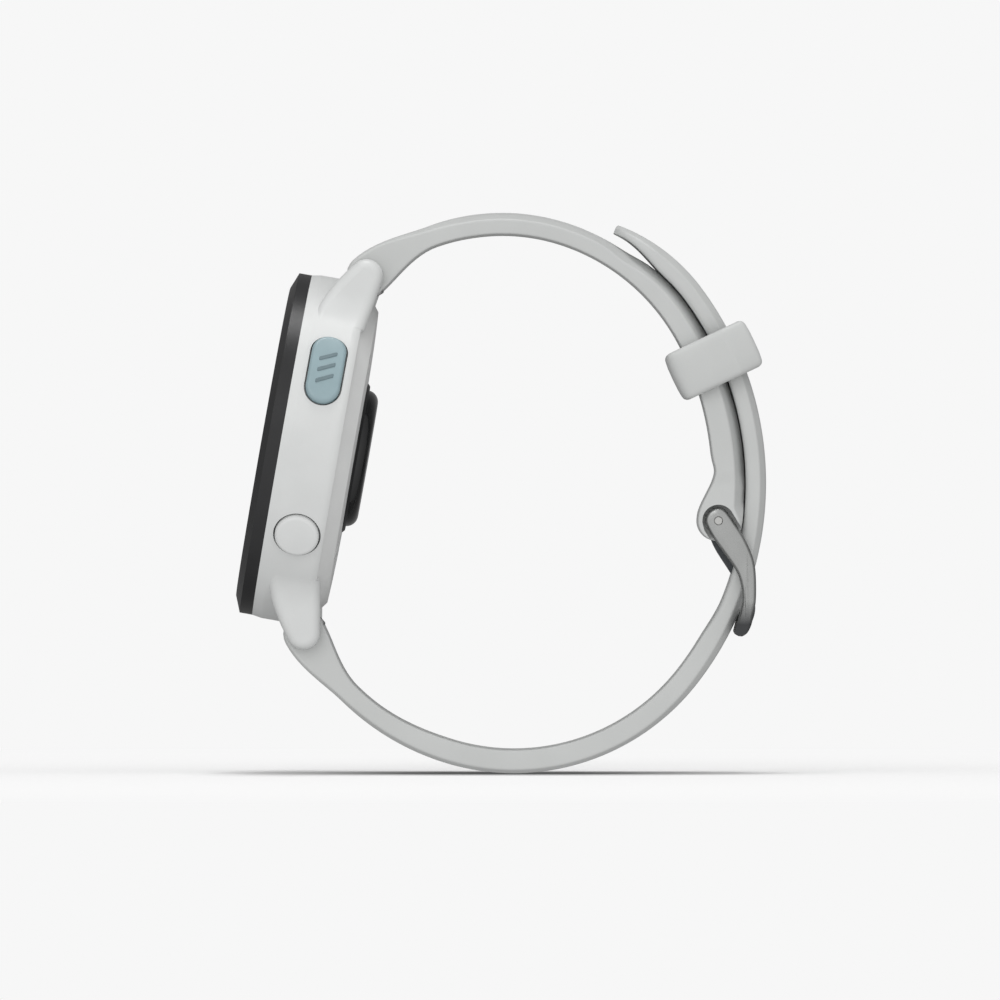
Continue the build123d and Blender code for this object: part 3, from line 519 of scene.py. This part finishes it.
def band_sections(meeting, end):
    """The upper strap from the spring bar to the bead. Past meeting the lower strap lies on it: there
    the outer face rises until the two all but touch, and its edge turns down in a wide bevel."""
    rings = []
    for s in ROUND_END + stations(0, end, RING_STEP):
        here, outward = upper.at(s)
        top, bottom = end_profile(s, HALF_THICK, UPPER_INNER)
        if s >= meeting:
            top = between(s, meeting, meeting + 5, top, room(here, outward) - CONTACT)
        covered = ease((s - meeting + 2) / 6)
        half = between(here.x, -12, 14, STRAP_HALF_WIDTH, UPPER_HALF_WIDTH)
        brow = top - between(s, 6, 20, 0.12, 0.28) + 0.14 * covered
        rim = between(s, 3, 15, top - 0.35, 0.45) * (1 - covered) + (top - BEVEL_DROP) * covered
        slope = between(s, 3, 16, 0.6, 2.4 + 0.8 * covered)
        lip = between(s, 8, 16, 0.0, 0.08)
        rings.append(strap_ring(here, outward, half, top, brow, rim, slope, bottom, lip,
                                roundness=(1.4 - 0.5 * covered, 0.4)))
    return rings


def bead_faces(z, inner, join_x):
    """x of the bead's inner and outer face at height z."""
    if z > PIN_Z + 1.2:
        here = Vector((between(z, PIN_Z, BEAD_TOP, PIN_X, join_x), z))
        return follow(inner, z), here.x + room(here, Vector((1, 0))) - CONTACT
    if z > PIN_Z:
        return follow(inner, z), bead_reach(z)
    round_off = math.sqrt(BEAD_RADIUS ** 2 - (PIN_Z - z) ** 2)
    return PIN_X - round_off, between(z, PIN_Z - 1.9, PIN_Z - 1.0, PIN_X + round_off, bead_reach(z))


def bead_sections(join_x):
    """The thick end of the upper strap, round the buckle's pin, from join_x at BEAD_TOP downwards."""
    inner = [(PIN_Z, PIN_X - BEAD_RADIUS), (32.5, 24.42), (33.65, 24.84), (35.1, 25.56), (36.5, 26.22),
             (37.75, 26.50), (BEAD_TOP, join_x - 1.36)]
    levels = [BEAD_TOP - 0.35 * i for i in range(1, 23)]
    rounding = (6, 14, 22, 30, 38, 46, 54, 62, 70, 77, 83)
    levels += [PIN_Z - BEAD_RADIUS * math.sin(math.radians(angle)) for angle in rounding]
    rings = []
    for z in levels:
        low, high = bead_faces(z, inner, join_x)
        middle, thick = Vector((0.5 * (low + high), z)), 0.5 * (high - low)
        half = between(z, 35.2, 38.2, 9.97, UPPER_HALF_WIDTH)
        brow = thick - between(z, 31.0, 34.5, 0.11, 0.14)
        rim = between(z, 31.0, 33.5, max(thick - 0.45, 0.1), thick - BEVEL_DROP)
        slope = between(z, 31.0, 34.5, 0.5, 3.2)
        rings.append(strap_ring(middle, Vector((1, 0)), half, thick, brow, rim, slope, thick,
                                roundness=(0.9, 0.4)))
    return rings


def make_upper_strap():
    """The strap from twelve o'clock, with the bead that holds the buckle's pin."""
    bead_start = next(s for s in stations(0, upper.length, 0.2) if s > 40 and upper.at(s)[0].y < BEAD_TOP)
    spots = ROUND_END + stations(0, bead_start, RING_STEP)
    meeting = next(s for s in spots if room(*upper.at(s)) < 2.0)
    join_x = upper.at(bead_start)[0].x
    strap = loft("upper_strap_silicone", band_sections(meeting, bead_start) + bead_sections(join_x))
    throat = [(PIN_X - 1.9, PIN_Z), (PIN_X + 1.9, PIN_Z), (PIN_X + 4, PIN_Z - 5), (PIN_X - 1.2, PIN_Z - 5)]
    cutters = [drill("bore", PIN_X, PIN_Z, PIN_BORE),
               drill("slot_round", PIN_X, PIN_Z, 1.8, -SLOT_HALF_WIDTH, SLOT_HALF_WIDTH),
               prism("slot_throat", throat, -SLOT_HALF_WIDTH, SLOT_HALF_WIDTH),
               release_notch(1)]
    pocket = [(24.85, 31.3), (25.1, 30.3), (27.4, 26.7), (31.3, 26.0), (31.0, 28.3), (29.5, 31.0),
              (28.4, 32.8)]
    for low, high in ((8.24, 12.2), (-12.2, -8.24)):
        cutters += [drill("pocket_round", PIN_X, PIN_Z, 2.0, low, high),
                    prism("pocket_throat", pocket, low, high)]
    return carve(strap, cutters + [tube_bore(1)])


def hole_cutter(distance):
    """A long hole of the lower strap, wider towards both faces."""
    radius, straight, steps = 1.2, 1.5, 32
    widening = ((-2.6, 0.9), (-1.32, 0.28), (-1.12, 0.06), (-0.95, 0.0),
                (0.85, 0.0), (1.04, 0.06), (1.24, 0.28), (2.4, 0.9))
    here, outward = lower.at(distance)
    along = Vector((outward.y, -outward.x))
    rings = []
    for height, grow in widening:
        ring = []
        for k in range(steps):
            angle = 2 * math.pi * (k + 0.5) / steps
            a = (radius + grow) * math.cos(angle) + math.copysign(straight, math.cos(angle))
            p = here + along * a + outward * height
            ring.append((p.x, (radius + grow) * math.sin(angle), p.y))
        rings.append(ring)
    return loft("hole", rings)


def make_lower_strap():
    """The strap from six o'clock, with its row of holes and its thin, rounded tip."""
    end = lower.length
    thin_length, round_length, fine_length = 8.5, 6.5, 9.0
    spots = ROUND_END + stations(0, end - fine_length, RING_STEP)
    spots += stations(end - fine_length, end, 0.35) + [end]
    rings = []
    for s in spots:
        here, outward = lower.at(s)
        top, bottom = end_profile(s, HALF_THICK, HALF_THICK)
        thin = ease((s - (end - thin_length)) / thin_length)
        bottom -= 1.40 * thin
        half = LOWER_HALF_WIDTH if s > 60 else between(here.x, -16, 18, STRAP_HALF_WIDTH, LOWER_HALF_WIDTH)
        round_tip = min(max((s - (end - round_length)) / round_length, 0.0), 1.0)
        half *= 0.42 + 0.58 * math.sqrt(max(1 - round_tip ** 2.2, 0.0))
        brow = top - between(s, 6, 20, 0.08, 0.12)
        rim = between(s, 3, 15, top - 0.35, 0.80) - between(s, 45, 65, 0.0, 0.35) + 0.35 * thin
        slope = between(s, 3, 16, 0.6, 1.3)
        covering = ease((s - 62) / 6)
        lip = between(s, 12, 24, 0.0, 0.34) * (1 - covering)
        rings.append(strap_ring(here, outward, half, top, brow, rim, slope, bottom, lip,
                                0.3 + 0.6 * covering * (1 - thin)))
    here, outward = lower.at(end + 0.22)
    rings.append(strap_ring(here, outward, 2.9, 1.05, 0.98, 0.75, 0.8, -0.15, 0.0, 0.15))
    strap = loft("lower_strap_silicone", rings)
    holes = [hole_cutter(HOLE_FIRST + HOLE_PITCH * i) for i in range(HOLE_COUNT)]
    return carve(strap, [release_notch(-1), tube_bore(-1)] + holes)


# ---------------------------------------------------------------- keeper loop
def make_keeper():
    """A rounded band swept round a closed path, whose far side has cut corners."""
    half_width, half_height, length, wall = 11.2, 5.5, 6.25, 1.9
    far_corner, near_corner = 0.9, 1.7
    far = [(half_width, half_height - 3.0, far_corner), (half_width - 1.1, half_height, far_corner)]
    mirrored = [(-y, h, r) for y, h, r in reversed(far)]
    near = [(-half_width, -half_height, near_corner), (half_width, -half_height, near_corner)]
    path = evenly(soften(far + mirrored + near, 6), 0.6)
    outer_round, inner_round, crown = 0.95, 0.25, 0.03
    band = soften([(length / 2, 0.2, outer_round), (length / 2, wall, inner_round),
                   (-length / 2, wall, inner_round), (-length / 2, 0.2, outer_round),
                   (-1.5, crown, 0), (0, 0, 0), (1.5, crown, 0)], 5)
    ahead = Vector((math.cos(KEEPER_HEADING), 0, math.sin(KEEPER_HEADING)))
    across = Vector((0, 1, 0))
    outward = Vector((-ahead.z, 0, ahead.x))
    middle = Vector((KEEPER_X, 0, KEEPER_Z))
    paths = {p.y: inset(path, p.y) for p in band}
    rings = [[middle + ahead * p.x + across * paths[p.y][i].x + outward * paths[p.y][i].y for p in band]
             for i in range(len(path))]
    return loft("keeper_silicone", rings, closed=True)


# ---------------------------------------------------------------- buckle frame
def make_arm(side):
    """A curved arm of the buckle, with rounded edges and a thinner lower end."""
    outline = curve_through([
        (25.19, 31.55), (25.45, 32.4), (26.1, 33.0), (26.95, 33.17), (27.8, 32.75), (29.05, 31.0),
        (30.0, 29.5), (30.85, 27.7), (31.3, 26.3), (31.5, 24.5), (31.5, 21.7), (31.2, 19.8),
        (30.95, 18.6), (30.5, 17.65), (29.9, 17.2), (29.15, 17.25), (28.95, 17.9), (29.2, 18.9),
        (29.52, 20.2), (29.76, 21.3), (29.8, 22.3), (29.7, 23.3), (29.33, 24.7), (28.66, 25.94),
        (27.4, 27.7), (26.28, 29.25), (25.5, 30.6)], 0.28)
    # y of each layer and how far its outline is drawn in
    layers = ((8.4, 0.24), (8.5, 0.1), (8.62, 0.0), (9.5, 0.0), (9.56, 0.01), (9.95, 0.26), (10.0, 0.36))
    bend_start, bend, thin_from, thin_over = 8.7, 0.8, 20.7, 2.6
    rings = []
    for y, amount in layers:
        beyond = max(y - bend_start, 0) * bend
        rings.append([(p.x, side * (y - beyond * ease((thin_from - p.y) / thin_over)), p.y)
                      for p in inset(outline, amount)])
    return loft("arm", rings)


def bar_outline(points):
    """An outline given along and across the crossbar, turned into (x, z) of the watch."""
    c, t = math.cos(CROSSBAR_ANGLE), math.sin(CROSSBAR_ANGLE)
    return [(CROSSBAR_X + along * c - across * t, CROSSBAR_Z + along * t + across * c)
            for along, across in points]


def make_buckle():
    """Two arms and the crossbar between them, with the notch that the tongue's end rests in."""
    half_length, half_thick, corner, half_span, notch_half_width = 1.5, 0.65, 0.55, 9.0, 1.25
    section = soften([(half_length, half_thick, corner), (-half_length, half_thick, corner),
                      (-half_length, -half_thick, corner), (half_length, -half_thick, corner)], 6)
    crossbar = prism("crossbar", bar_outline(section), -half_span, half_span)
    notch = bar_outline([(-4, NOTCH_HEIGHT), (4, NOTCH_HEIGHT), (4, -3), (-4, -3)])
    carve(crossbar, [prism("tongue_rest", notch, -notch_half_width, notch_half_width)])
    buckle = make_arm(1)
    buckle.name = "buckle_frame_satin"
    carve(buckle, [make_arm(-1), crossbar], "UNION")
    return carve(buckle, [drill("eye", PIN_X, PIN_Z, FRAME_EYE)])


# ---------------------------------------------------------------- raised running mark on the start button
def make_run_mark():
    """Three slanted bars on the cap's round face."""
    pitch, half_height, corner = 1.55, 1.05, 0.14
    layers = ((-0.25, 0.0), (0.05, 0.0), (0.10, 0.06))       # height over the cap's face, inset
    verts, faces = [], []
    for middle in (-pitch, 0.0, pitch):
        shape = soften([(middle - 0.85, -half_height, corner), (middle - 0.30, -half_height, corner),
                        (middle + 0.80, half_height, corner), (middle + 0.25, half_height, corner)], 3)
        count, base = len(shape), len(verts)
        for height, shrink in layers:
            radius = BUTTON_RADIUS + height
            for p in inset(shape, shrink):
                angle = RUN_ANGLE + p.x / BUTTON_RADIUS
                across, up = radius * math.cos(angle), radius * math.sin(angle)
                verts.append(case_point(across, up, BUTTON_DEPTH + p.y))
        for level in range(len(layers) - 1):
            a, b = base + level * count, base + (level + 1) * count
            for j in range(count):
                k = (j + 1) % count
                faces.append((a + j, a + k, b + k, b + j))
        faces.append(tuple(range(base, base + count)))
        faces.append(tuple(range(base + 2 * count, base + 3 * count)))
    return make_object("run_mark_bars", verts, faces)


def place(piece, finish, body, replaced=None):
    """Gives a piece its finish, the body it moves with and the CAD node it stands for."""
    piece.data.materials.clear()
    piece.data.materials.append(finish)
    shade(piece)
    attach(piece, body)
    if replaced:
        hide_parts(replaced)


upper_strap = make_upper_strap()
lower_strap = make_lower_strap()
keeper = make_keeper()
buckle = make_buckle()
run_mark = make_run_mark()
place(upper_strap, silicone, "watch", "upper_strap")
place(lower_strap, silicone, "watch", "lower_strap")
place(keeper, silicone, "keeper", "keeper_loop")
place(buckle, buckle_metal, "buckle", "buckle_frame")
place(run_mark, mark_plastic, "run_button_body")


# ---------------------------------------------------------------- stage, light and camera (in metres)
FLOOR_LIFT = (0.20, 0.36)    # light that the paper gives off near the watch and away from it: one even white
SHADE_REACH = (0.036, 0.022)     # half length and half width of the soft shade painted under the watch
SWEEP_FRONT, SWEEP_START, SWEEP_RADIUS, SWEEP_TOP, SWEEP_HALF_WIDTH = -1.6, 2.50, 0.50, 2.5, 3.0


def length_of(tree, vector):
    node = tree.nodes.new("ShaderNodeVectorMath")
    node.operation = "LENGTH"
    tree.links.new(vector, node.inputs[0])
    return node.outputs["Value"]


def product_of(tree, first, second):
    node = tree.nodes.new("ShaderNodeMath")
    node.operation = "MULTIPLY"
    tree.links.new(first, node.inputs[0])
    tree.links.new(second, node.inputs[1])
    return node.outputs["Value"]


def paper_white():
    """Matt white paper that reads as one even white, apart from a soft shade right under the watch that is
    painted into its colour and glow.
    """
    made, tree, shader = new_material("paper_white")
    tree.links.new(remap(tree, noise(tree, 300.0), 0.85, 0.95), shader.inputs["Roughness"])
    shader.inputs["Specular IOR Level"].default_value = 0.1
    shader.inputs["Emission Color"].default_value = (1, 1, 1, 1)
    spot = tree.nodes.new("ShaderNodeTexCoord").outputs["Object"]
    stretched = tree.nodes.new("ShaderNodeVectorMath")
    stretched.operation = "MULTIPLY"
    stretched.inputs[1].default_value = (1 / SHADE_REACH[0], 1 / SHADE_REACH[1], 1.0)
    tree.links.new(spot, stretched.inputs[0])
    # Painted shadow: darker colour and less glow in an ellipse under the watch.
    painted_shadow = remap(tree, length_of(tree, stretched.outputs["Vector"]), 0.0, 1.0, 0.35, 1.05)
    tone = blend_colours(tree, painted_shadow, (0.30, 0.30, 0.30), (0.80, 0.80, 0.80))
    tree.links.new(tone, shader.inputs["Base Color"])
    away = length_of(tree, spot)
    lift = product_of(tree, painted_shadow, remap(tree, away, *FLOOR_LIFT, 0.05, 0.35))
    tree.links.new(lift, shader.inputs["Emission Strength"])
    even = tree.nodes.new("ShaderNodeEmission")
    even.inputs["Color"].default_value = (0.93, 0.93, 0.93, 1)
    mixed = tree.nodes.new("ShaderNodeMixShader")
    tree.links.new(remap(tree, away, 0.0, 1.0, 0.07, 0.22), mixed.inputs["Fac"])
    tree.links.new(shader.outputs["BSDF"], mixed.inputs[1])
    tree.links.new(even.outputs["Emission"], mixed.inputs[2])
    tree.links.new(mixed.outputs["Shader"], tree.nodes["Material Output"].inputs["Surface"])
    return made


def make_backdrop():
    """A flat floor that turns up in a quarter round into a wall. Glossy and diffuse rays pass it, so that
    it puts no bright rims on the black parts."""
    profile = [(SWEEP_FRONT, 0.0), (0.0, 0.0)]
    for degrees in range(0, 91, 3):
        a = math.radians(degrees)
        profile.append((SWEEP_START + SWEEP_RADIUS * math.sin(a), SWEEP_RADIUS * (1 - math.cos(a))))
    profile.append((SWEEP_START + SWEEP_RADIUS, SWEEP_TOP))
    verts = [(x / MM, y / MM, z / MM) for x in (-SWEEP_HALF_WIDTH, SWEEP_HALF_WIDTH) for y, z in profile]
    count = len(profile)
    sheet = make_object("backdrop", verts, [(i, i + 1, count + i + 1, count + i) for i in range(count - 1)])
    shade(sheet)
    sheet.data.materials.append(paper_white())
    sheet.visible_glossy = False
    sheet.visible_diffuse = False


def studio_world():
    """White all round, brightest behind the camera and dimmer behind the watch."""
    world = bpy.data.worlds.new("studio")
    bpy.context.scene.world = world
    world.use_nodes = True
    tree = world.node_tree
    where = tree.nodes.new("ShaderNodeTexCoord")
    parts = tree.nodes.new("ShaderNodeSeparateXYZ")
    tree.links.new(where.outputs["Generated"], parts.inputs["Vector"])
    front_to_side = remap(tree, parts.outputs["Y"], 1.18, 0.52, -1.0, 0.0)
    side_to_back = remap(tree, parts.outputs["Y"], 1.0, 0.45, 0.0, 0.35)
    background = tree.nodes["Background"]
    tree.links.new(product_of(tree, front_to_side, side_to_back), background.inputs["Strength"])
    background.inputs["Color"].default_value = (1.0, 1.0, 1.0, 1)


def softbox(name, spot, target, size, power):
    light = bpy.data.lights.new(name, "AREA")
    light.shape, light.size, light.energy = "SQUARE", size, power
    lamp = bpy.data.objects.new(name, light)
    bpy.context.scene.collection.objects.link(lamp)
    lamp.location = spot
    lamp.rotation_euler = (Vector(target) - Vector(spot)).to_track_quat("-Z", "Y").to_euler()


def make_camera(spot, lens):
    """A long lens that looks level along +y."""
    data = bpy.data.cameras.new("camera")
    data.sensor_width, data.lens = 36.0, lens
    data.clip_start, data.clip_end = 0.05, 10.0
    camera = bpy.data.objects.new("camera", data)
    bpy.context.scene.collection.objects.link(camera)
    camera.location = spot
    camera.rotation_euler = (math.radians(90), 0, 0)
    bpy.context.scene.camera = camera


make_backdrop()
studio_world()
WATCH_MIDDLE = (0.0, 0.0, 0.035)
softbox("key", (-0.30, -0.85, 0.55), WATCH_MIDDLE, 0.5, 1.2)
softbox("overhead", (0.0, 0.0, 0.65), WATCH_MIDDLE, 0.22, 1.4)
make_camera((-0.0003, -2.2, 0.0341), 634.6)
bpy.context.scene.view_settings.view_transform = "Standard"
